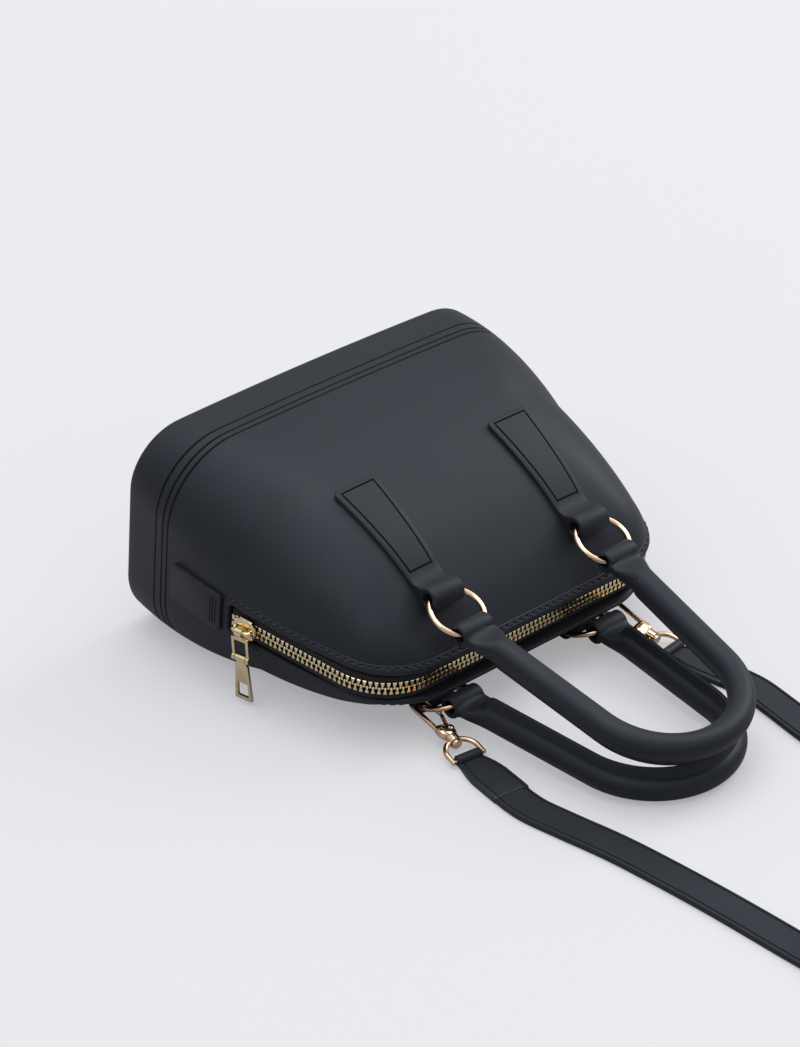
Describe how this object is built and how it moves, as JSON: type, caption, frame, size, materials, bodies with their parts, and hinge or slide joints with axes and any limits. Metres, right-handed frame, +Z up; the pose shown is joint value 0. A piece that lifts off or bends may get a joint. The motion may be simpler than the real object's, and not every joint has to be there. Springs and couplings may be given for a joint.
{
  "type": "top handle bag",
  "caption": "Moulded top handle bag with a curved zip, ring-hung handles and a clip-on shoulder strap, lying on its back panel.",
  "frame": {"origin": "middle of the flattened back panel that the bag lies on", "axes": "+X to the bag's right end seen from its front, +Y from the lips towards the base, +Z up out of the front panel"},
  "size_m": [0.2161, 0.6565, 0.1078],
  "materials": {
    "moulded_rubber": "matte",
    "filler": "matte",
    "zip_cloth": "woven",
    "rose_gold": "polished",
    "pale_gold": "satin"
  },
  "bodies": {
    "bag": {"body_shell": "moulded_rubber", "tab_front_left": "moulded_rubber", "tab_front_right": "moulded_rubber", "tab_back_left": "moulded_rubber", "tab_back_right": "moulded_rubber", "end_tab_left": "moulded_rubber", "end_tab_right": "moulded_rubber", "zip_tape_front": "zip_cloth", "zip_tape_back": "zip_cloth", "zip_teeth_front": "pale_gold", "zip_teeth_back": "pale_gold", "zip_stops_open_end": "pale_gold", "zip_stop_closed_end": "pale_gold", "ring_back_left": "rose_gold", "ring_back_right": "rose_gold", "strap_ring_left": "rose_gold", "strap_ring_right": "rose_gold", "strap_end_left": "moulded_rubber", "strap_end_right": "moulded_rubber", "shoulder_strap": "moulded_rubber", "hook_body_left": "rose_gold", "hook_pin_left": "rose_gold", "hook_spring_left": "rose_gold", "hook_swivel_left": "rose_gold", "hook_body_right": "rose_gold", "hook_pin_right": "rose_gold", "hook_spring_right": "rose_gold", "hook_swivel_right": "rose_gold"},
    "front_rings": {"ring_front_left": "rose_gold", "ring_front_right": "rose_gold"},
    "front_handle": {"handle_front_cover": "moulded_rubber", "handle_front_core": "filler"},
    "back_handle": {"handle_back_cover": "moulded_rubber", "handle_back_core": "filler"},
    "slider": {"slider_body": "pale_gold", "slider_crown": "pale_gold"},
    "puller_link": {"puller_link": "pale_gold", "puller_pin": "pale_gold"},
    "pull_plate": {"pull_plate": "pale_gold"},
    "gate_left": {"hook_gate_left": "rose_gold"},
    "gate_right": {"hook_gate_right": "rose_gold"}
  },
  "joints": [
    {"name": "front_rings_hinge", "type": "hinge", "parent": "bag", "child": "front_rings", "pos_m": [0, -0.11853, 0.06255], "axis": [-1, 0, 0], "range_deg": [0, 120]},
    {"name": "front_handle_hinge", "type": "hinge", "parent": "front_rings", "child": "front_handle", "pos_m": [0, -0.13801, 0.05306], "axis": [-1, 0, 0], "range_deg": [0, 45]},
    {"name": "back_handle_hinge", "type": "hinge", "parent": "bag", "child": "back_handle", "pos_m": [0, -0.13121, 0.01241], "axis": [1, 0, 0], "range_deg": [0, 100]},
    {"name": "zip_slide", "type": "slide", "parent": "bag", "child": "slider", "axis": [0.189, -0.973, -0.1328], "range_m": [0, 0.04]},
    {"name": "puller_hinge", "type": "hinge", "parent": "slider", "child": "puller_link", "pos_m": [-0.10583, -0.05156, 0.03852], "axis": [-0.1873, 0.9823, 0], "range_deg": [0, 120]},
    {"name": "pull_plate_hinge", "type": "hinge", "parent": "puller_link", "child": "pull_plate", "pos_m": [-0.10548, -0.05149, 0.02453], "axis": [-0.1873, 0.9823, 0], "range_deg": [0, 60]},
    {"name": "gate_left_hinge", "type": "hinge", "parent": "bag", "child": "gate_left", "pos_m": [-0.0581, -0.13669, 0.00606], "axis": [0.2345, -0.2272, 0.9452], "range_deg": [0, 18], "stiffness_Nm_per_rad": 0.01},
    {"name": "gate_right_hinge", "type": "hinge", "parent": "bag", "child": "gate_right", "pos_m": [0.0581, -0.13669, 0.00606], "axis": [0.2345, 0.2272, -0.9452], "range_deg": [0, 18], "stiffness_Nm_per_rad": 0.01}
  ]
}
